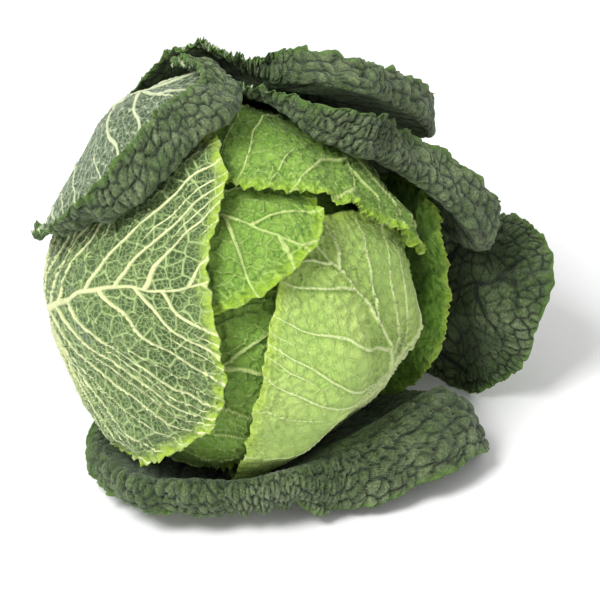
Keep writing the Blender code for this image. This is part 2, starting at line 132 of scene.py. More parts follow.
class Leaf:
    """One leaf: where its middle lies on the head, how far it reaches and how its rim turns."""

    def __init__(self, name, azimuth, middle, reach, cuff=8, turn=10, lift=0, lean=0,
                 bend=0.6, ruffle=1.0, waves=12, seed=0, rests=False, power=OUTLINE_POWER,
                 midrib=OUTER_MIDRIB, **looks):
        self.name = name
        self.rests = rests
        self.seed = seed
        self.looks = looks
        self.midrib_foot = midrib * MM
        self.reach = tuple(v * MM for v in reach)
        self.cuff = tuple(v * MM for v in four(cuff))
        self.turn = tuple(math.radians(v) for v in four(turn))
        self.lift = tuple(v * MM for v in four(lift))
        self.bend = bend
        self.power = power
        self.ruffle = ruffle * MM
        self.waves = waves
        phases = np.random.default_rng(seed).uniform(0, 2 * math.pi, 10)
        self.outline_phases = phases[:4]
        self.wave_phases = phases[4:]
        self.middle = direction(middle, azimuth)
        p = math.radians(middle)
        a = math.radians(azimuth)
        across = math.cos(a) * BESIDE + math.sin(a) * UP
        away = math.sin(p) * CROWN + math.cos(p) * across
        sideways = -math.sin(a) * BESIDE + math.cos(a) * UP
        l = math.radians(lean)
        self.fore = math.cos(l) * away + math.sin(l) * sideways
        self.right = -math.sin(l) * away + math.cos(l) * sideways
        self.foot_psi = math.pi + math.atan2(-math.sin(l), math.cos(l))
        self.foot = (p - FOOT_ANGLE) * HEAD_RADIUS

    def from_foot(self, psi):
        """Returns how far psi is from the leaf's foot, 0 to pi."""
        return np.abs((psi - self.foot_psi + math.pi) % (2 * math.pi) - math.pi)

    def outline(self, psi):
        """Returns the way out to the margin: a rounded oval, four slow lobes, and a foot."""
        tip, right, left, base = self.reach
        c = np.cos(psi)
        s = np.sin(psi)
        end = np.where(c > 0, tip, base)
        side = np.where(s > 0, right, left)
        power = np.where(c > 0, self.power, OUTLINE_POWER)
        length = (np.abs(c / end) ** power + np.abs(s / side) ** power) ** (-1 / power)
        for k, phase in enumerate(self.outline_phases):
            length = length * (1 + LOBE * np.sin((k + 2) * psi + phase))
        foot = smooth((FOOT_HALF_WIDTH - self.from_foot(psi)) / FOOT_BLEND)
        return length * (1 - foot) + self.foot * foot

    def free(self, psi):
        """Returns 1 where the margin is free and 0 beside the foot."""
        return smooth((self.from_foot(psi) - HELD) / HELD_BLEND)

    def cuff_width(self, psi):
        """Returns the width of the rim that turns outward."""
        width = around(psi, self.cuff) * self.free(psi)
        return np.minimum(width, WIDEST_CUFF * self.outline(psi))

    def turned(self, share, psi):
        """Returns the angle that the rim has turned by, at a share of its width."""
        return around(psi, self.turn) * self.free(psi) * smooth(share / self.bend)

    def shares(self, rho, psi):
        """Returns the way out over the ball, the rim's width and the share of it passed."""
        length = self.outline(psi)
        width = self.cuff_width(psi)
        way = rho * length
        over = np.minimum(way, length - width)
        share = np.where(width > 1e-6, (way - over) / np.maximum(width, 1e-6), 0.0)
        return over, width, share

    def facing(self, way, psi):
        """Returns the ball's outward direction and the leaf's outgoing tangent there."""
        radial = np.cos(psi)[..., None] * self.fore + np.sin(psi)[..., None] * self.right
        a = (way / HEAD_RADIUS)[..., None]
        tangent = np.cos(a) * radial - np.sin(a) * self.middle
        return np.cos(a) * self.middle + np.sin(a) * radial, tangent

    def wave(self, rho, psi):
        """Returns the ruffles' height: two waves round the leaf that grow towards the margin."""
        p = self.wave_phases
        warp = psi + 0.10 * np.sin(3 * psi + p[0]) + 0.06 * np.sin(5 * psi + p[1])
        slow = np.sin(self.waves * warp + p[2])
        quick = np.sin(round(1.6 * self.waves) * warp + p[3])
        return self.ruffle * ruffled(rho) * self.free(psi) * (slow + 0.5 * quick)

    def sheet(self, rho, psi, height, push):
        """Returns the blade's mid-surface about the head's centre, and its outward normals.

        Up to the rim a point is its direction times the settled height. Along the rim it walks on
        in small steps, tangent times cosine plus normal times sine of the angle turned so far.
        """
        over, width, share = self.shares(rho, psi)
        facing, tangent = self.facing(over, psi)
        reached = over / self.outline(psi)
        along = np.zeros_like(width)
        out = np.zeros_like(width)
        for i in range(RIM_STEPS):
            angle = self.turned((i + 0.5) / RIM_STEPS * share, psi)
            along += np.cos(angle) * width * share / RIM_STEPS
            out += np.sin(angle) * width * share / RIM_STEPS
        angle = self.turned(share, psi)[..., None]
        points = height(reached, psi)[..., None] * facing
        points = points + along[..., None] * tangent + out[..., None] * facing
        normals = np.cos(angle) * facing - np.sin(angle) * tangent
        points = points + self.wave(rho, psi)[..., None] * normals
        return points + push(rho, psi)[..., None] * facing, normals

    def lift_at(self, rho, psi):
        """Returns how far the leaf stands off beyond what it rests on."""
        return around(psi, self.lift) * smooth((rho - 0.2) / 0.8)

    def plane(self, rho, psi):
        """Returns the place on the leaf laid flat: how far from its foot, and how far aside."""
        way = rho * self.outline(psi)
        return self.foot - way * np.cos(psi - self.foot_psi), -way * np.sin(psi - self.foot_psi)

    def midrib(self, rho, psi):
        """Returns the height of the midrib's swelling: thick at the foot, sloping to both sides."""
        s, y = self.plane(rho, psi)
        length = self.reach[0] + self.foot
        toward_foot = smooth((length - s) / length)
        top = MIDRIB_TIP + (self.midrib_foot - MIDRIB_TIP) * toward_foot ** 2
        return top * np.clip(1 - np.abs(y) / RIDGE_SIDE, 0, 1)


# %% [markdown]
# ## How a leaf settles on those below it
# Leaves can't pass through each other. So a leaf's height over the head isn't drawn: it is the
# least height that clears the heart and every leaf already laid, bridging the hollows between
# them as a stiff sheet would. This is worked out on a coarse net of points, and read between
# them with a smooth curve.

# %% The heart's radius and the reader of a coarse field
HEART_RADIUS = 72 * MM
HEART_FLAT = 10 * MM
HEART_FLAT_POLAR = 150
HEART_FLAT_AZIMUTH = -40
HEART_CLEAR = 3.2 * MM


def heart_radius(d):
    """Returns the heart's radius along unit directions: a ball, pressed in under the front."""
    toward_flat = d @ direction(HEART_FLAT_POLAR, HEART_FLAT_AZIMUTH)
    return HEART_RADIUS - HEART_FLAT * smooth((toward_flat + 0.1) / 0.9)


def grid_of(rings, spokes):
    """Returns a full grid of shares of the way out and angles round a leaf."""
    rho = np.linspace(0, 1, rings)[:, None] * np.ones((1, spokes))
    psi = np.ones((rings, 1)) * (np.arange(spokes) * 2 * math.pi / spokes)[None]
    return rho, psi


def cubic_weights(f):
    """Returns the weights of four neighbours for a smooth curve between the middle two."""
    return (-0.5 * f + f * f - 0.5 * f ** 3, 1 - 2.5 * f * f + 1.5 * f ** 3,
            0.5 * f + 2 * f * f - 1.5 * f ** 3, -0.5 * f * f + 0.5 * f ** 3)


def reader(field):
    """Returns a function that reads a field of rings and spokes anywhere between its points."""
    rings, spokes = field.shape

    def read(rho, psi):
        u = np.clip(rho, 0, 1) * (rings - 1)
        v = psi / (2 * math.pi) * spokes
        ring = np.clip(np.floor(u).astype(int), 0, rings - 2)
        spoke = np.floor(v).astype(int)
        ring_weights = cubic_weights(u - ring)
        spoke_weights = cubic_weights(v - spoke)
        total = np.zeros_like(u)
        for i in range(4):
            row = ring + i - 1
            opposite = np.where(row < 0, spokes // 2, 0)
            row = np.clip(np.abs(row), 0, rings - 1)
            for j in range(4):
                column = (spoke + j - 1 + opposite) % spokes
                total = total + ring_weights[i] * spoke_weights[j] * field[row, column]
        return total

    return read


# %% Settling
BLADE = 1.0 * MM
GAP = 1.9 * MM
RIB = 0.4 * MM
BLISTER = 0.3 * MM
RIM_BLISTER = 0.9 * MM
BRIDGE_RADIUS = 25 * MM
REACH = math.radians(22)
FLOOR_STEP = 3.2 * MM
DRAPE_ROUNDS = 10
SETTLE_NET = (15, 48)
OBSTACLE_NET = (24, 72)
BATCH = 256
UPRIGHT = math.radians(60)


def height_needed(d, placed, margin):
    """Returns the least radius along directions d that clears the heart and all placed leaves.

    Each placed point holds up a tent: its own radius plus the margin, less the angle squared
    times the head's radius squared over twice the bridge's radius.
    """
    need = heart_radius(d) + HEART_CLEAR + margin
    if placed is None:
        return need
    placed_d, placed_r = placed
    for start in range(0, len(d), BATCH):
        part = slice(start, start + BATCH)
        bend = 2 * (1 - np.clip(d[part] @ placed_d.T, -1, 1))
        tent = placed_r[None] + margin - HEAD_RADIUS ** 2 * bend / (2 * BRIDGE_RADIUS)
        tent[bend > REACH ** 2] = 0
        need[part] = np.maximum(need[part], tent.max(1))
    return need


def drape(need):
    """Returns a sheet stretched over the heights needed: it bridges dips and keeps every peak."""
    need[0] = need[0].max()
    height = need.copy()
    for _ in range(DRAPE_ROUNDS):
        beside = (np.roll(height, 1, 1) + np.roll(height, -1, 1)) / 2
        inward = np.concatenate([np.full((1, height.shape[1]), height[1].mean()), height[:-1]])
        outward = np.concatenate([height[1:], height[-1:]])
        height = np.maximum(need, (beside + (inward + outward) / 2) / 2)
        height[0] = height[0].mean()
    return height


def soften(field):
    """Evens a field round the leaf without lowering its peaks."""
    wide = np.maximum(field, np.maximum(np.roll(field, 1, 1), np.roll(field, -1, 1)))
    return (wide + 0.5 * (np.roll(wide, 1, 1) + np.roll(wide, -1, 1))) / 2


def settle(leaf, placed):
    """Returns readers of the leaf's height over the ball and of the push its rim needs."""
    rho, psi = grid_of(*SETTLE_NET)
    margin = GAP + BLADE / 2 + BLISTER
    facing, _ = leaf.facing(rho * leaf.outline(psi), psi)
    height = height_needed(facing.reshape(-1, 3), placed, margin).reshape(rho.shape)
    height = height + leaf.lift_at(rho, psi) + 1.5 * leaf.ruffle * ruffled(rho)
    height = drape(height)
    none = reader(np.zeros_like(height))
    points, _ = leaf.sheet(rho, psi, reader(height), none)
    r = np.linalg.norm(points, axis=2)
    need = height_needed((points / r[..., None]).reshape(-1, 3), placed, margin).reshape(r.shape)
    short = np.maximum(need + leaf.ruffle - r, 0)
    _, _, share = leaf.shares(rho, psi)
    upright = leaf.turned(share, psi) > UPRIGHT
    push = np.zeros_like(short)
    for ring in range(1, len(push)):
        inner = share[ring] <= 0
        here = np.where(upright[ring], push[ring - 1], np.maximum(short[ring], push[ring - 1]))
        push[ring] = np.where(inner, 0, here)
    return reader(height), reader(soften(push))


def as_obstacles(leaf, height, push):
    """Returns directions and radii of both of the leaf's sides, with its midrib and its rim."""
    rho, psi = grid_of(*OBSTACLE_NET)
    points, normals = leaf.sheet(rho, psi, height, push)
    outside = BLADE / 2 + BLISTER + RIB + leaf.midrib(rho, psi)
    _, _, share = leaf.shares(rho, psi)
    rim = smooth(share * 4)[..., None] * RIM_BLISTER * normals
    both = np.concatenate([points + outside[..., None] * normals + rim, points - rim])
    both = both.reshape(-1, 3)
    r = np.linalg.norm(both, axis=1)
    return both / r[:, None], r


# %% [markdown]
# ## Random patterns on the flat leaf
# A real leaf's net has no two cells alike. Two patterns give that. Noise is random numbers on
# a square net, blended evenly, and it bends lines that would be too straight. Cells are what is
# left when every point goes to the nearest of some scattered seeds: their walls are the net.

# %% Noise and cells
TABLE = 64
SCATTER = (0.08, 0.92)
NO_WALL = 9.0


def noise(x, y, size, seed):
    """Returns smooth random heights from -1 to 1: four corners' numbers, blended with an even S."""
    table = np.random.default_rng(seed).uniform(-1, 1, (TABLE, TABLE))
    column = np.floor(x / size).astype(int)
    row = np.floor(y / size).astype(int)
    u = smooth(x / size - column)
    v = smooth(y / size - row)
    left, right = column % TABLE, (column + 1) % TABLE
    below, above = row % TABLE, (row + 1) % TABLE
    low = table[left, below] * (1 - u) + table[right, below] * u
    high = table[left, above] * (1 - u) + table[right, above] * u
    return low * (1 - v) + high * v


def cells(x, y, size, seed):
    """Returns the distance to the nearest wall between cells, and each cell's own number.

    One seed lies in each square. With a and b the ways to the nearest seed and to another, the
    wall between them is half of a plus b, measured along b minus a.
    """
    rng = np.random.default_rng(seed)
    scatter = rng.uniform(*SCATTER, (TABLE, TABLE, 2))
    numbers = rng.uniform(0, 1, (TABLE, TABLE))
    column = np.floor(x / size).astype(int)
    row = np.floor(y / size).astype(int)
    ways = []
    owners = []
    for i in range(-2, 3):
        for j in range(-2, 3):
            square = (column + i) % TABLE, (row + j) % TABLE
            place = scatter[square]
            ways.append(np.stack([column + i + place[..., 0] - x / size,
                                  row + j + place[..., 1] - y / size], -1))
            owners.append(numbers[square])
    ways = np.stack(ways)
    nearest = (ways ** 2).sum(-1).argmin(0)[None, ..., None]
    own = np.take_along_axis(ways, nearest, 0)
    between = ways - own
    span = np.linalg.norm(between, axis=-1)
    wall = ((ways + own) / 2 * between).sum(-1) / np.maximum(span, 1e-9)
    wall = np.where(span < 1e-6, NO_WALL, wall).min(0)
    number = np.take_along_axis(np.stack(owners), nearest[..., 0], 0)[0]
    return wall * size, number


print("noise and cells are ready")

# %% [markdown]
# ## The veins
# A savoy leaf's veins are a tree. The midrib runs from the foot to the tip. Side veins leave it
# on both sides and bend forward, and near the foot they fan out like the ribs of a hand. Where
# they have spread apart, younger ones start between them. One number u, that is whole on each
# side vein, gives them all: the distance to a vein is the sine of pi times u, over pi times how
# fast u changes there.

# %% Side veins and midrib
SLANT = 0.85
BOW = 0.0035
UNEVEN = 0.24
UNEVEN_RATE = 2.1
BENDS = ((5.0, 31), (2.4, 12), (3.0, 37), (1.3, 10))
FIRST_RIGHT = 0.31
FIRST_LEFT = 0.78
MIDRIB_HALF = 0.45
MIDRIB_EDGE = 0.8
MIDRIB_RIDGE = 1.1
FAR_HALF = 0.36
NEAR_HALF = 0.85
THINS_OVER = 36
WIDEST_SHARE = 0.16
SIDE_RIDGE = 0.9
FORK_STRENGTH = 0.62
FORK_GROWS = 9
FAR = 40.0


def side_vein_number(s, y, length, count, fans):
    """Returns u and how fast it changes a millimetre, all lengths in millimetres.

    A side vein that leaves the midrib at s0 runs along s = s0 + slant y + bow y squared, and u
    is its count from the foot. Behind the first one, u counts shares of that curve's own way.
    """
    y = np.maximum(np.abs(y), 0.4)
    curve = SLANT * y + BOW * y * y
    slope = SLANT + 2 * BOW * y
    start = s - curve
    forward = start > 0
    ahead = count * np.maximum(start, 0) / length
    ahead_rate = count / length * np.sqrt(1 + slope ** 2)
    fan = fans * (s / curve - 1)
    fan_rate = fans / curve * np.sqrt(1 + (s / curve * slope) ** 2)
    return np.where(forward, ahead, fan), np.where(forward, ahead_rate, fan_rate)


def veins(leaf, s, y):
    """Returns the distance from the edge of the nearest large vein, the ridges, and the lines.

    The distance is in millimetres and negative inside a vein. A ridge is its height times exp of
    minus the distance from its line over its half width, squared. The lines hold, for the
    midrib, the side veins and the forks, a signed number that is 1 or -1 at the vein's edge. The
    look "root" says where the veins fan out from, and how far the midrib is turned there.
    """
    looks = leaf.looks
    root_s, root_y, slew = looks.get("root", (0, 0, 0))
    length = (leaf.reach[0] + leaf.foot) / MM - root_s
    c = math.cos(math.radians(slew))
    d = math.sin(math.radians(slew))
    s, y = c * (s - root_s) + d * (y - root_y), c * (y - root_y) - d * (s - root_s)
    slow, quick, slow_aside, quick_aside = (
        height * noise(s, y, size, 100 + 10 * leaf.seed + k)
        for k, (height, size) in enumerate(BENDS))
    bent_s = s + slow + quick
    bent_y = y + smooth((s - 10) / 60) * (slow_aside + quick_aside)
    u, rate = side_vein_number(bent_s, bent_y, length, looks.get("sides", 6),
                               looks.get("fans", 1.7))
    u = u + np.where(bent_y > 0, FIRST_RIGHT, FIRST_LEFT)
    rate = rate * (1 + UNEVEN * UNEVEN_RATE * np.cos(UNEVEN_RATE * u + leaf.seed))
    u = u + UNEVEN * np.sin(UNEVEN_RATE * u + leaf.seed)
    aside = np.abs(bent_y)
    stout = looks.get("stout", 1.0)
    along = np.clip(s / length, 0, 1)
    half_mid = stout * (MIDRIB_HALF + looks.get("rib", 4.0) * (1 - along) ** 2.4)
    edge = aside - half_mid
    ridge = MIDRIB_RIDGE * stout * (1 - 0.6 * along) * np.exp(-(aside / (1.2 * half_mid)) ** 2)
    lines = {"mid": np.sign(bent_y) * np.clip(1 + edge / MIDRIB_EDGE, 0, FAR)}
    for name, shift, begins, strength in (("side", 0.0, 0.0, 1.0),
                                          ("fork", 0.5, looks.get("fork", 26.0), FORK_STRENGTH)):
        signed = np.sin(math.pi * (u + shift)) / (math.pi * rate)
        off = np.abs(signed)
        grown = smooth((aside - begins) / FORK_GROWS) if begins else 1.0
        half = stout * strength * (FAR_HALF + NEAR_HALF * np.exp(-aside / THINS_OVER))
        half = np.minimum(half, WIDEST_SHARE / rate) * grown
        lines[name] = np.clip(signed / np.maximum(half, 0.02), -FAR, FAR)
        edge = np.minimum(edge, off - half + 1.6 * (1 - grown))
        round_top = np.exp(-(off / np.maximum(half, 0.55)) ** 2)
        ridge = np.maximum(ridge, SIDE_RIDGE * stout * strength * grown * round_top)
    return edge, ridge, lines


# %% [markdown]
# ## The relief of a blade
# The net of small veins holds the blade back while the flesh between them keeps growing, so it
# swells into pockets. Seen from outside they are hollows with the net standing proud. Seen from
# inside, where a rim is rolled back, they are the tight bubbles that a savoy is known for, longer
# across the margin than along it. So one field moves both faces of the blade, and the veins are
# added on the outside alone.

# %% Pockets, bubbles and frill
LUMP_STRETCH = 0.62
KNOB = 9.5
KNOB_STRETCH = 0.75
MEAN_POCKET = 0.55
MEAN_BUBBLE = 0.6
FULL_ROLL = math.radians(70)
NET_HALF = 0.5
FRILLS = 70
FRILL_WIDTH = 8.0


def swelling(wall, reach):
    """Returns a round dome: the square root of 2 x minus x squared, x the share from the wall."""
    x = np.clip(wall / reach, 0, 1)
    return np.sqrt(x * (2 - x))


def relief(leaf, rho, psi):
    """Returns the fields, by name, that move the blade and colour it, lengths in millimetres."""
    looks = leaf.looks
    free = leaf.free(psi)
    s, y = leaf.plane(rho, psi)
    s = s / MM
    y = y / MM
    margin = (1 - rho) * leaf.outline(psi) / MM
    arc = (psi - leaf.foot_psi) % (2 * math.pi) * sum(leaf.reach) / 4 / MM
    edge, ridge, lines = veins(leaf, s, y)
    seed = 500 + 10 * leaf.seed
    bent_s = s + 1.3 * noise(s, y, 7, seed)
    bent_y = y + 1.3 * noise(s, y, 7, seed + 1)
    wall, number = cells(bent_s, bent_y, looks.get("cell", 6.0), seed + 2)
    lump = looks.get("lump", 3.0)
    across = margin * LUMP_STRETCH + 0.7 * noise(arc, margin, 5, seed + 9)
    lump_arc = arc + 0.9 * noise(arc, margin, 6, seed + 3)
    lump_wall, lump_number = cells(lump_arc, across, lump, seed + 4)
    _, _, share = leaf.shares(rho, psi)
    rolled = smooth(leaf.turned(share, psi) / FULL_ROLL) * smooth(share * 3)
    rim_width = looks.get("rim", 11.0) * (1 + 0.4 * noise(arc, margin, 19, seed + 10))
    rim = np.maximum(rolled, smooth((rim_width - margin) / 5 + 0.5)) * free
    pocket = swelling(np.minimum(wall, np.maximum(edge, 0)), looks.get("swell", 2.1))
    bubble = swelling(lump_wall, 0.46 * lump)
    knob_arc = arc + 1.5 * noise(arc, margin, 8, seed + 14)
    knob_wall, knob_number = cells(knob_arc, KNOB_STRETCH * across, KNOB, seed + 13)
    knobs = (MEAN_BUBBLE - swelling(knob_wall, 0.45 * KNOB)) * looks.get("knobs", 0.6)
    knobs = knobs * (0.4 + knob_number) * rim
    calm = 1 - looks.get("calm", 0.0) * smooth(0.5 + 1.6 * noise(s, y, 34, seed + 4))
    hollow = (MEAN_POCKET - pocket) * looks.get("pocket", 0.8) * (0.6 + 0.7 * number)
    hollow = hollow * calm * (1 - rim)
    lumps = (MEAN_BUBBLE - bubble) * looks.get("bubble", 1.5) * (0.5 + 0.9 * lump_number) * rim
    folds = noise(arc, margin, 10, seed + 11) + 0.6 * noise(arc, 0.6 * margin, 5, seed + 5)
    fold = looks.get("fold", 0.9) * rim * folds
    warp = psi + 0.05 * np.sin(7 * psi + leaf.seed) + 0.03 * np.sin(13 * psi)
    frill = np.sin(FRILLS * warp) * (0.6 + 0.4 * noise(arc, np.zeros_like(arc), 9, seed + 7))
    frill = looks.get("frill", 1.1) * frill * smooth(1 - margin / FRILL_WIDTH) * free
    foot = smooth((leaf.from_foot(psi) - 0.1) / 0.5 + 1.5 * (1 - rho))
    net = looks.get("net", 0.22) * np.exp(-(wall / NET_HALF) ** 2)
    return {**lines, "wall": wall, "flat_s": bent_s, "flat_y": bent_y, "margin": margin,
            "dome": pocket * (1 - rim) + bubble * rim,
            "tone": number * (1 - rim) + lump_number * rim,
            "shift": (hollow + lumps + knobs) * foot + fold + frill,
            "outside": ridge + net * (1 - rim)}


# %% [markdown]
# ## From fields to a mesh
# A square net of points is stretched onto the leaf's outline, which leaves no pole in its middle
# and keeps the squares of nearly one size. The outer face, the inner face and a narrow band
# round the margin close the blade. Where the inner face lies hidden against the head, it has
# every second point only.

# %% The net of points and its faces
BLADE_THIN = 0.8
MARGIN_THIN = 0.45
MARGIN_THIN_WIDTH = 8
TEETH = 16
TOOTH_DEPTH = 0.028


def disc(n, crowd):
    """Returns rho and psi of an n by n square stretched onto a disc, denser at the margin.

    rho is the larger of the two coordinates, moved outward by up to a quarter of crowd, and psi
    turns by an eighth of a circle times their ratio, from the middle of each side.
    """
    a, b = np.meshgrid(np.linspace(-1, 1, n), np.linspace(-1, 1, n), indexing="ij")
    wide = np.abs(a) >= np.abs(b)
    big = np.where(wide, a, b)
    ratio = np.where(wide, b, a) / np.where(big == 0, 1, big)
    psi = np.where(wide, np.where(a >= 0, 0, math.pi) + math.pi / 4 * ratio,
                   np.where(b >= 0, 0.5, 1.5) * math.pi - math.pi / 4 * ratio)
    rho = np.abs(big)
    return rho * (1 + crowd * (1 - rho)), psi


def quads(index):
    """Returns the four-cornered faces of a net of point numbers, facing away from the head."""
    corners = (index[:-1, :-1], index[:-1, 1:], index[1:, 1:], index[1:, :-1])
    return np.stack(corners, -1).reshape(-1, 4)


def loop(index):
    """Returns the point numbers once round the net's border."""
    return np.concatenate([index[:-1, 0], index[-1, :-1], index[:0:-1, -1], index[0, :0:-1]])


def blade_faces(n, skip):
    """Returns the faces of a closed blade, and how many of the first ones are its outer face."""
    outer = np.arange(n * n).reshape(n, n)
    m = (n - 1) // skip + 1
    inner = n * n + np.arange(m * m).reshape(m, m)
    outer_faces = quads(outer)
    faces = [*outer_faces.tolist(), *quads(inner)[:, ::-1].tolist()]
    a = loop(outer)
    b = loop(inner)
    after = np.roll(b, -1)
    if skip == 1:
        band = [(a, np.roll(a, -1), after, b)]
    else:
        first = a[0::2]
        middle = a[1::2]
        last = np.roll(first, -1)
        band = [(first, middle, b), (b, middle, after), (middle, last, after)]
    for corners in band:
        faces += np.stack(corners, -1).tolist()
    return faces, len(outer_faces)


def above_floor(inner, outer, normals, level):
    """Presses both faces of a blade flat where they would go below its level over the floor."""
    outer_is_low = normals[..., 2] < 0
    thin = BLADE_THIN * MM
    inner_floor = np.where(outer_is_low, level + thin, level) - HEAD_HEIGHT
    outer_floor = np.where(outer_is_low, level, level + thin) - HEAD_HEIGHT
    inner[..., 2] = np.maximum(inner[..., 2], inner_floor)
    outer[..., 2] = np.maximum(outer[..., 2], outer_floor)
    return inner, outer


def new_piece(name, points, faces, fields):
    """Makes an object at the origin from points and faces, and keeps the fields on its points."""
    mesh = bpy.data.meshes.new(name)
    mesh.from_pydata(points, [], faces)
    for field, values in fields.items():
        kept = mesh.attributes.new(field, "FLOAT", "POINT")
        kept.data.foreach_set("value", values.astype(np.float32))
    mesh.shade_smooth()
    piece = bpy.data.objects.new(name, mesh)
    bpy.context.scene.collection.objects.link(piece)
    return piece


def blade(leaf, height, push):
    """Makes one leaf as a closed blade with its relief, its veins and its frill."""
    n = leaf.looks["points"]
    skip = leaf.looks.get("skip", 2)
    rho, psi = disc(n, leaf.looks.get("crowd", 0.5))
    fields = relief(leaf, rho, psi)
    teeth = 0.5 + 0.5 * noise(psi * TEETH, np.zeros_like(psi), 1.0, leaf.seed + 40)
    shrunk = rho * (1 - TOOTH_DEPTH * teeth * smooth((rho - 0.86) / 0.14) * leaf.free(psi))
    points, normals = leaf.sheet(shrunk, psi, height, push)
    points = points + (fields["shift"] * MM)[..., None] * normals
    near_margin = smooth(1 - fields["margin"] / MARGIN_THIN_WIDTH)
    thin = BLADE_THIN * (1 - MARGIN_THIN * near_margin) / 2
    outside = thin + fields["outside"] + 0.75 * leaf.midrib(rho, psi) / MM
    inner = points - (thin * MM)[..., None] * normals
    outer = points + (outside * MM)[..., None] * normals
    inner, outer = above_floor(inner, outer, normals, 0 if leaf.rests else FLOOR_STEP)
    inner = inner[::skip, ::skip]
    faces, outer_count = blade_faces(n, skip)
    both = np.concatenate([outer.reshape(-1, 3), inner.reshape(-1, 3)]) + CENTRE
    kept = {name: np.concatenate([f.reshape(-1), f[::skip, ::skip].reshape(-1)])
            for name, f in fields.items() if name not in ("shift", "outside")}
    piece = new_piece("fine_" + leaf.name, both, faces, kept)
    inside = np.ones(len(faces), np.int32)
    inside[:outer_count] = 0
    return piece, inside


# %% [markdown]
# ## Leaf materials
# The outer face of a leaf is green flesh with pale veins. The veins' colour follows the numbers
# that made their shape, which are kept on the mesh's points. On the young and pale leaves the
# pockets are painted darker beside their threads, a painted shade. The inner face is darker, with
# painted shade in its grooves and creases, and has a grey, waxy bloom on the tops of its bubbles.
# Light also passes through a thin blade, so a part of it is a translucent shader.

# %% A small helper for shader nodes
def linear(colour):
    """Returns a screen colour, three numbers up to 255, as the linear numbers of a shader."""
    c = np.array(colour) / 255
    values = np.where(c <= 0.04045, c / 12.92, ((c + 0.055) / 1.055) ** 2.4)
    return tuple(float(v) for v in values)


class Shader:
    """Wires up one material: each method adds a node and returns its useful output."""

    def __init__(self, name):
        self.material = bpy.data.materials.new(name)
        self.material.use_nodes = True
        self.tree = self.material.node_tree
        self.tree.nodes.clear()
        self.place = self.add("ShaderNodeTexCoord").outputs["Object"]

    def add(self, kind, **values):
        """Adds a node. A value is set on the input of its name, or linked if it is an output."""
        node = self.tree.nodes.new(kind)
        for key, value in values.items():
            socket = node.inputs[int(key[1:]) if key[0] == "_" else key.replace("_", " ")]
            if isinstance(value, bpy.types.NodeSocket):
                self.tree.links.new(value, socket)
            else:
                socket.default_value = (*value, 1.0) if socket.type == "RGBA" else value
        return node

    def field(self, name):
        """Reads a number kept on the mesh's points."""
        node = self.add("ShaderNodeAttribute")
        node.attribute_name = name
        return node.outputs["Fac"]

    def ramp(self, value, low, high, to_low=0.0, to_high=1.0):
        """Goes from one number to another in an even S while the value goes from low to high."""
        node = self.add("ShaderNodeMapRange", Value=value, From_Min=low, From_Max=high,
                        To_Min=to_low, To_Max=to_high)
        node.interpolation_type = "SMOOTHSTEP"
        return node.outputs["Result"]

    def math(self, operation, a, b=0.0):
        """Adds, multiplies or compares two numbers."""
        node = self.add("ShaderNodeMath", _0=a, _1=b)
        node.operation = operation
        return node.outputs[0]

    def mix(self, share, a, b):
        """Mixes two colours, each an output or three screen numbers."""
        node = self.add("ShaderNodeMix", _0=share)
        node.data_type = "RGBA"
        for socket, value in ((node.inputs[6], a), (node.inputs[7], b)):
            if isinstance(value, bpy.types.NodeSocket):
                self.tree.links.new(value, socket)
            else:
                socket.default_value = (*linear(value), 1.0)
        return node.outputs[2]

    def noise(self, scale, detail=3.0, rough=0.55):
        """Soft random spots, so many to a metre."""
        node = self.add("ShaderNodeTexNoise", Vector=self.place, Scale=scale, Detail=detail,
                        Roughness=rough)
        return node.outputs[0]

    def folds(self, scale):
        """0 along winding creases, where soft spots cross their mean, and 1 between them."""
        away = self.math("ABSOLUTE", self.math("SUBTRACT", self.noise(scale, 2.0), 0.5))
        return self.ramp(away, 0.0, 0.11)

    def threads(self, scale):
        """1 on the fine net's threads, drawn on the leaf laid flat, and 0 in its cells."""
        flat = self.add("ShaderNodeCombineXYZ", X=self.field("flat_s"), Y=self.field("flat_y"))
        node = self.add("ShaderNodeTexVoronoi", Vector=flat.outputs[0], Scale=scale)
        node.feature = "DISTANCE_TO_EDGE"
        return self.ramp(node.outputs["Distance"], 0.015, 0.13, 1.0, 0.0)

    def vein_lines(self):
        """1 on the midrib, the side veins and the forks, and 0 beside them."""
        nearest = FAR
        for name in ("mid", "side", "fork"):
            nearest = self.math("MINIMUM", self.math("ABSOLUTE", self.field(name)), nearest)
        return self.ramp(nearest, 0.75, 1.9, 1.0, 0.0)

    def cracks(self, scale):
        """Distance from the walls of small cells, so many to a metre."""
        node = self.add("ShaderNodeTexVoronoi", Vector=self.place, Scale=scale)
        node.feature = "DISTANCE_TO_EDGE"
        return node.outputs["Distance"]

    def finish(self, shader):
        """Ends the material in a surface."""
        self.add("ShaderNodeOutputMaterial", Surface=shader)
        return self.material


# %% The two faces of a leaf
GRAIN = 1400
CRACKS = 620
FOLDS = 400
OUTER_BUMP = 0.35 * MM
INNER_BUMP = 0.4 * MM
ROUGHNESS = (0.42, 0.6)
OUTER_RIM = (4.5, 13.5)
INNER_RIM = (2.5, 6.5)
BLOOM_SHARE = 0.8


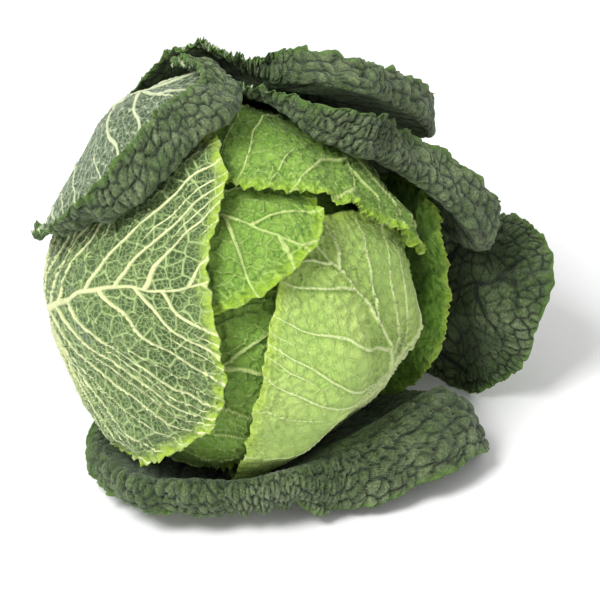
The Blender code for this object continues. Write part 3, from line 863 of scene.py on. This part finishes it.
def flesh(shader, colour, roughness, bump_height, sheen, glow, glow_share, crinkle=1.0):
    """Returns a leaf's surface: a waxy shader with fine grain, mixed with light through it."""
    grain = shader.ramp(shader.cracks(CRACKS), 0.0, 0.12)
    grain = shader.math("ADD", shader.noise(GRAIN, 4.0, 0.6), grain)
    grain = shader.math("ADD", grain, shader.math("MULTIPLY", shader.folds(FOLDS), crinkle))
    bump = shader.add("ShaderNodeBump", Height=grain, Strength=0.55, Distance=bump_height)
    waxy = shader.add("ShaderNodeBsdfPrincipled", Base_Color=colour, Roughness=roughness,
                      Normal=bump.outputs[0], IOR=1.42)
    waxy.inputs["Sheen Weight"].default_value = sheen
    waxy.inputs["Sheen Roughness"].default_value = 0.45
    waxy.inputs["Sheen Tint"].default_value = (0.80, 0.92, 0.78, 1.0)
    through = shader.add("ShaderNodeBsdfTranslucent", Color=glow, Normal=bump.outputs[0])
    both = shader.add("ShaderNodeMixShader", _0=glow_share, _1=waxy.outputs[0],
                      _2=through.outputs[0])
    return shader.finish(both.outputs[0])


def outer_face(name, thread_side_shade_and_tint, pocket, light, net, vein, rim, net_share, sheen=0.15, glow=0.1,
               shade_and_tint_share=0.6):
    """Returns the material of a leaf's outer face: pockets, net, veins and a brighter margin, with
    painted shade beside the threads on the young and pale leaves and a paler tissue tint there on
    the others.
    """
    m = Shader(name)
    patches = m.ramp(m.noise(42, 3.0), 0.35, 0.7)
    tone = m.math("MULTIPLY", m.field("tone"), 0.45)
    base = m.mix(m.math("ADD", m.math("MULTIPLY", patches, 0.5), tone), pocket, light)
    base = m.mix(m.math("MULTIPLY", m.threads(0.42), 0.5 * net_share), base, net)
    # Beside the net's threads the colour goes to the thread-side colour: a darker painted shade on
    # the young and pale leaves and on the heart, and a paler tissue tint on the netted and dark
    # leaves.
    base = m.mix(m.ramp(m.field("dome"), 0.35, 0.95, shade_and_tint_share, 0.0), base, thread_side_shade_and_tint)
    edging = m.math("ADD", m.field("margin"), m.math("MULTIPLY", m.noise(150, 2.0), 9.0))
    base = m.mix(m.ramp(edging, *OUTER_RIM, 1.0, 0.0), base, rim)
    base = m.mix(m.ramp(m.field("wall"), 0.15, 0.6, net_share, 0.0), base, net)
    colour = m.mix(m.vein_lines(), base, vein)
    rough = m.ramp(m.noise(260, 3.0), 0.3, 0.7, *ROUGHNESS)
    return flesh(m, colour, rough, OUTER_BUMP, sheen, m.mix(0.5, colour, rim), glow)


def inner_face(name, painted_groove_shade, bubble, bloom, rim, glow=0.12):
    """Returns the material of a leaf's inner face: painted shade in the grooves and creases, and
    bubbles with a waxy bloom.
    """
    m = Shader(name)
    patches = m.ramp(m.noise(36, 3.0), 0.35, 0.7)
    patches = m.math("ADD", patches, m.math("MULTIPLY", m.field("tone"), 0.4))
    top = m.mix(m.math("MULTIPLY", patches, BLOOM_SHARE), bubble, bloom)
    # Between the bubbles, where the dome is low, the colour goes to a painted shade; the tops keep
    # the bloom.
    colour = m.mix(m.ramp(m.field("dome"), 0.25, 0.95), painted_groove_shade, top)
    # Along the winding creases of the bump the colour also goes towards that painted shade.
    colour = m.mix(m.ramp(m.folds(FOLDS), 0.0, 1.0, 0.45, 0.0), colour, painted_groove_shade)
    edging = m.math("ADD", m.field("margin"), m.math("MULTIPLY", m.noise(150, 2.0), 5.0))
    colour = m.mix(m.ramp(edging, *INNER_RIM, 0.7, 0.0), colour, rim)
    rough = m.ramp(m.noise(260, 3.0), 0.3, 0.7, *ROUGHNESS)
    return flesh(m, colour, rough, INNER_BUMP, 0.25, m.mix(0.6, colour, rim), glow, 2.2)


CREAM = (222, 228, 168)
LIME = (170, 200, 70)

# In each outer face the first colour lies beside the threads: a darker painted shade on the young
# and pale leaves, a paler tissue tint on the netted and dark ones. In each inner face the first
# colour is the painted shade in the grooves and creases.
FINISHES = {
    "netted": (
        outer_face("netted_leaf_outside", (96, 122, 72), (50, 76, 34), (92, 116, 58),
                   (176, 198, 128), CREAM, LIME, 0.95, sheen=0.25, shade_and_tint_share=0.5),
        inner_face("netted_leaf_inside", (70, 105, 35), (110, 150, 62), (130, 165, 85), LIME)),
    "young": (
        outer_face("young_leaf_outside", (70, 112, 28), (108, 154, 46), (154, 194, 82),
                   (186, 214, 114), (204, 226, 136), (166, 204, 56), 0.6, glow=0.16),
        inner_face("young_leaf_inside", (84, 128, 30), (130, 174, 60), (150, 190, 86), LIME)),
    "pale": (
        outer_face("pale_leaf_outside", (112, 152, 58), (164, 202, 94), (206, 230, 130),
                   (216, 236, 148), (228, 244, 170), (196, 226, 98), 0.5, glow=0.16, shade_and_tint_share=0.55),
        inner_face("pale_leaf_inside", (120, 150, 60), (150, 180, 80), (170, 195, 100), LIME)),
    "dark": (
        outer_face("dark_leaf_outside", (86, 106, 76), (40, 58, 30), (70, 92, 54),
                   (176, 192, 152), (210, 218, 174), (68, 102, 36), 0.9, sheen=0.25, glow=0.06,
                   shade_and_tint_share=0.4),
        inner_face("dark_leaf_inside", (22, 36, 12), (70, 95, 42), (118, 134, 92),
                   (90, 126, 42), glow=0.06)),
}
print("leaf materials:", len(bpy.data.materials))

# %% [markdown]
# ## The leaves, from the inside to the outside
# These are the same leaves, in the same order and with the same numbers, as in the solid model.
# What is new for each is the size and depth of its pockets, its frill, and how fine its net of
# points is: finest where the camera and the eye will look.

# %% All the leaves
HEAD = dict(midrib=INNER_MIDRIB, slot="head_leaf")
LOW = dict(ruffle=0.6, points=91, finish="young", cell=7.5, pocket=1.8, stout=0.8, frill=1.4)
OUTER = dict(skip=1, finish="dark", slot="outer_leaf", stout=0.7, lump=4.4, bubble=2.4,
             knobs=2.6, fold=1.6)

LEAVES = (
    Leaf("head_leaf_low_inner", -86, 106, (58, 62, 62, 92), seed=1, **HEAD, **LOW),
    Leaf("head_leaf_low_outer", -66, 106, (60, 62, 62, 92), seed=2, **HEAD, **LOW),
    Leaf("head_leaf_right", 22, 114, (50, 68, 60, 92), ruffle=0.6, seed=3, points=111,
         finish="young", stout=0.7, pocket=1.6, calm=0.6, frill=0.4, **HEAD),
    Leaf("head_leaf_left", 222, 110, (92, 66, 64, 92), turn=12, ruffle=0.8, waves=11, seed=4,
         points=151, finish="young", cell=6.5, pocket=2.4, swell=2.6, stout=0.6, bubble=2.0,
         knobs=1.0, rim=14, frill=2.0, **HEAD),
    Leaf("head_leaf_front", -51, 127, (117, 70, 74, 98), turn=6, lean=4, power=2.2, ruffle=0.6,
         seed=5, points=171, finish="pale", cell=6.5, pocket=3.0, swell=2.6, crowd=0.15,
         calm=0.75, stout=0.62, rib=1.5, sides=4, fans=1.8, fork=45, root=(178, 9, -4),
         frill=0.6, **HEAD),
    Leaf("head_leaf_upper_left", 152, 113, (77, 60, 56, 92), cuff=10, seed=6, points=141,
         finish="young", pocket=2.4, swell=2.5, stout=0.6, bubble=2.0, knobs=1.0, rim=14,
         frill=2.0, **HEAD),
    Leaf("head_leaf_top", 74, 112, (74, 86, 80, 92), cuff=10, turn=12, waves=14, seed=7,
         points=151, finish="young", pocket=2.2, swell=2.5, stout=0.6, bubble=2.2, knobs=1.2,
         rim=15, frill=2.2, **HEAD),
    Leaf("frill_leaf_right", -4, 92, (41, 60, 50, 80), cuff=18, turn=45, lift=(3, 3, 3, 0),
         ruffle=1.6, seed=8, midrib=INNER_MIDRIB, points=101, finish="young",
         slot="middle_leaf", frill=2.2),
    Leaf("wrapper_leaf_left", 180, 90, (76, 88, 84, 84), cuff=10, turn=8, lift=(1, 8, 1, 7),
         power=2.9, ruffle=0.8, waves=14, seed=14, points=191, finish="netted",
         slot="middle_leaf", crowd=0.3, cell=7.5, pocket=1.5, net=0.45, swell=1.8, stout=0.58,
         sides=7, fans=2.0, rib=3.6, fork=20, root=(66, 15, -6), frill=1.8),
    Leaf("outer_leaf_upper_right", 60, 92, (90, 74, 101, 84), lean=-15, power=3.4,
         cuff=(34, 10, 27, 10), turn=(165, 40, 130, 20), bend=0.42, lift=(0, 0, 25, 0),
         ruffle=0.8, waves=14, seed=9, points=171, **OUTER),
    Leaf("outer_leaf_upper_left", 123, 86, (88, 77, 44, 84), lean=12, power=2.8,
         cuff=(33, 20, 16, 10), turn=(170, 60, 155, 20), bend=0.4, ruffle=0.8, waves=14,
         seed=11, points=161, **OUTER),
    Leaf("outer_leaf_top", 84, 90, (80, 24, 82, 84), lean=-22, power=4.0, cuff=(26, 6, 24, 10),
         turn=(165, 30, 130, 20), bend=0.4, ruffle=0.8, waves=14, seed=10, points=151, **OUTER),
    Leaf("outer_leaf_front", -82, 88, (63, 130, 80, 84), lean=-24, cuff=(32, 60, 26, 10),
         turn=(165, 112, 165, 20), bend=0.7, lift=(0, 7, 0, 0), ruffle=0.8, waves=15, seed=12,
         rests=True, points=171, **OUTER),
    Leaf("outer_leaf_right", -1, 86, (62, 42, 37, 76), lean=-21, power=2.8,
         cuff=(50, 36, 16, 10), turn=(55, 50, 20, 10), bend=1.0, lift=(7, 0, 0, 0), ruffle=0.9,
         waves=13, seed=13, rests=True, points=161, **OUTER),
)

placed = None
for leaf in LEAVES:
    height, push = settle(leaf, placed)
    piece, inside = blade(leaf, height, push)
    for material in FINISHES[leaf.looks["finish"]]:
        piece.data.materials.append(material)
    piece.data.polygons.foreach_set("material_index", inside)
    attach(piece, "root")
    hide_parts(leaf.name)
    mine = as_obstacles(leaf, height, push)
    placed = mine if placed is None else [np.concatenate(pair) for pair in zip(placed, mine)]
    print(piece.name, "points", len(piece.data.vertices))

# %% [markdown]
# ## The heart and the stem
# The heart is the dense ball of folded leaves that shows only in the gaps. It is a ball whose
# surface is folded and netted as the leaves are. The stem is a ribbed stalk with a cut end.

# %% Heart
HEART_FOLD = 0.8 * MM
HEART_CELL = 6.0
HEART_POCKET = 2.1
HEART_POCKET_DEPTH = 0.8 * MM


def closed_rings(rings, spokes):
    """Returns the faces of rings of points that follow a first point and precede a last one.

    They look outward where the rings go up the axis that the spokes are counted round.
    """
    index = 1 + np.arange(rings * spokes).reshape(rings, spokes)
    after = np.roll(index, -1, 1)
    bands = np.stack([index[:-1], after[:-1], after[1:], index[1:]], -1).reshape(-1, 4)
    first = np.stack([np.zeros(spokes, int), after[0], index[0]], -1)
    last = np.stack([np.full(spokes, rings * spokes + 1), index[-1], after[-1]], -1)
    return [*first.tolist(), *bands.tolist(), *last.tolist()]


def heart_piece(rings, spokes):
    """Makes the heart: radius times direction, plus folds and pockets, closed at both poles."""
    polar = np.linspace(0, math.pi, rings + 1)[1:-1]
    azimuth = np.arange(spokes) * 2 * math.pi / spokes
    p, a = np.meshgrid(polar, azimuth, indexing="ij")
    across = np.cos(a)[..., None] * BESIDE + np.sin(a)[..., None] * UP
    d = (-np.cos(p)[..., None] * CROWN + np.sin(p)[..., None] * across).reshape(-1, 3)
    fold = HEART_FOLD * (0.6 * np.sin(5 * a + 3 * p) + 0.4 * np.sin(11 * a - 6 * p)) * np.sin(p)
    down = p.reshape(-1) * HEART_RADIUS / MM
    aside = np.abs(a.reshape(-1) - math.pi) * 60
    wall, number = cells(down, aside, HEART_CELL, 77)
    swell = np.clip(wall / HEART_POCKET, 0, 1)
    dome = swell * (2 - swell)
    r = heart_radius(d) + fold.reshape(-1) - HEART_POCKET_DEPTH * dome
    points = np.concatenate([[-CROWN * heart_radius(-CROWN)], d * r[:, None],
                             [CROWN * heart_radius(CROWN)]])
    beside = np.full(len(points), 9.0)
    fields = {"mid": beside, "side": beside, "fork": beside,
              "margin": np.full(len(points), 60.0),
              "wall": np.concatenate([[9], wall, [9]]),
              "tone": np.concatenate([[0.5], number, [0.5]]),
              "flat_s": points[:, 0] / MM, "flat_y": points[:, 2] / MM,
              "dome": np.concatenate([[0], dome, [0]])}
    return new_piece("fine_heart", points + CENTRE, closed_rings(len(polar), spokes), fields)


heart = heart_piece(96, 160)
# The heart wears the pale leaves' outer face, with its painted shade beside the pocket walls.
heart.data.materials.append(FINISHES["pale"][0])
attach(heart, "root")
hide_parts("heart")

# %% Stem
STEM_ANGLE = math.radians(11)
STEM_CUT = 112 * MM
STEM_CHAMFER = 2.5 * MM
STEM_WIDEST = 0.88 * STEM_CUT
STEM_DISH = 0.5 * MM


def stem_piece(spokes):
    """Makes the stalk: rings along its axis, each with a few soft ribs, closed at both ends."""
    start = heart_radius(-CROWN) + HEART_FOLD + 0.3 * MM
    slope = math.tan(STEM_ANGLE)
    wide = STEM_WIDEST * slope
    along = np.concatenate([np.linspace(start, STEM_WIDEST, 14),
                            np.linspace(0.9 * STEM_CUT, STEM_CUT, 8)])
    side_rings = len(along)
    chamfer = STEM_CHAMFER * smooth((along - STEM_CUT + STEM_CHAMFER) / STEM_CHAMFER)
    radius = np.minimum(np.minimum(along * slope * 0.97, wide), wide - chamfer)
    cut = np.linspace(0.86, 0.0, 10)[:-1]
    along = np.concatenate([along, np.full(len(cut), STEM_CUT) - STEM_DISH * (1 - cut)])
    radius = np.concatenate([radius, (wide - STEM_CHAMFER) * cut])
    a = np.arange(spokes) * 2 * math.pi / spokes
    ribs = 1 - 0.03 * (1 - np.abs(np.sin(6 * a)))
    across = np.cos(a)[:, None] * BESIDE + np.sin(a)[:, None] * UP
    rings = -CROWN * along[:, None, None] + (radius[:, None] * ribs)[..., None] * across
    points = np.concatenate([[-CROWN * start], rings.reshape(-1, 3),
                             [-CROWN * (STEM_CUT - STEM_DISH)]])
    faces = [[face[0], *face[:0:-1]] for face in closed_rings(len(along), spokes)]
    on_cut = np.repeat(np.arange(len(along)) >= side_rings, spokes)
    fields = {"cut": np.concatenate([[0], on_cut, [1]]).astype(float)}
    return new_piece("fine_stem", points + CENTRE, faces, fields)


def stem_material():
    """Returns pale fibrous stalk: streaks along it, a slightly browned cut end."""
    m = Shader("cut_stem")
    colour = m.mix(m.ramp(m.noise(90, 5.0), 0.35, 0.65), (196, 204, 140), (222, 224, 178))
    browned = m.mix(m.ramp(m.noise(240, 4.0), 0.35, 0.7), (226, 220, 178), (196, 178, 124))
    colour = m.mix(m.field("cut"), colour, browned)
    rough = m.ramp(m.noise(300), 0.3, 0.7, 0.5, 0.7)
    return flesh(m, colour, rough, INNER_BUMP, 0.1, colour, 0.05)


stem = stem_piece(72)
stem.data.materials.append(stem_material())
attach(stem, "root")
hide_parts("stem")
print("heart and stem are made")

# %% [markdown]
# ## Floor, light and camera
# The cabbage lies on a plain white surface in soft light, the most of it from above, the left and
# the front. The camera looks down on it at 32 degrees from a good way off, through a long lens.

# %% Floor
floor_mesh = bpy.data.meshes.new("floor")
floor_mesh.from_pydata([(-4, -4, 0), (4, -4, 0), (4, 4, 0), (-4, 4, 0)], [], [(0, 1, 2, 3)])
floor = bpy.data.objects.new("floor", floor_mesh)
bpy.context.scene.collection.objects.link(floor)
white = Shader("white_floor")
paper = white.add("ShaderNodeBsdfPrincipled", Base_Color=(0.93, 0.93, 0.93), Roughness=0.9)
paper.inputs["Specular IOR Level"].default_value = 0.1
floor_mesh.materials.append(white.finish(paper.outputs[0]))

# %% Light
world = bpy.data.worlds.new("studio")
bpy.context.scene.world = world
world.use_nodes = True
world.node_tree.nodes["Background"].inputs["Color"].default_value = (1.0, 1.0, 1.0, 1.0)
world.node_tree.nodes["Background"].inputs["Strength"].default_value = 0.75

key = bpy.data.lights.new("key", "AREA")
key.size = 0.6
key.energy = 27
lamp = bpy.data.objects.new("key", key)
lamp.location = (-0.65, -0.8, 1.4)
lamp.rotation_euler = (Vector((0.0, 0.0, 0.08)) - lamp.location).to_track_quat("-Z", "Y").to_euler()
bpy.context.scene.collection.objects.link(lamp)
bpy.context.scene.view_settings.view_transform = "Standard"

# %% Camera
PIXEL = 0.463 * MM
HALF_PICTURE = 300
AIM_RIGHT = 56.7
AIM_DOWN = 20.5
DISTANCE = 1.25
SENSOR = 36
view = np.array([0.0, -math.cos(CROWN_LIFT), math.sin(CROWN_LIFT)])
target = CENTRE + np.array([1.0, 0.0, 0.0]) * AIM_RIGHT * PIXEL - UP * AIM_DOWN * PIXEL
camera_data = bpy.data.cameras.new("camera")
camera_data.sensor_width = SENSOR
camera_data.lens = SENSOR / 2 / (HALF_PICTURE * PIXEL / DISTANCE)
camera_data.clip_start = 0.05
camera = bpy.data.objects.new("camera", camera_data)
camera.location = target + view * DISTANCE
camera.rotation_euler = Vector(-view).to_track_quat("-Z", "Y").to_euler()
bpy.context.scene.collection.objects.link(camera)
bpy.context.scene.camera = camera
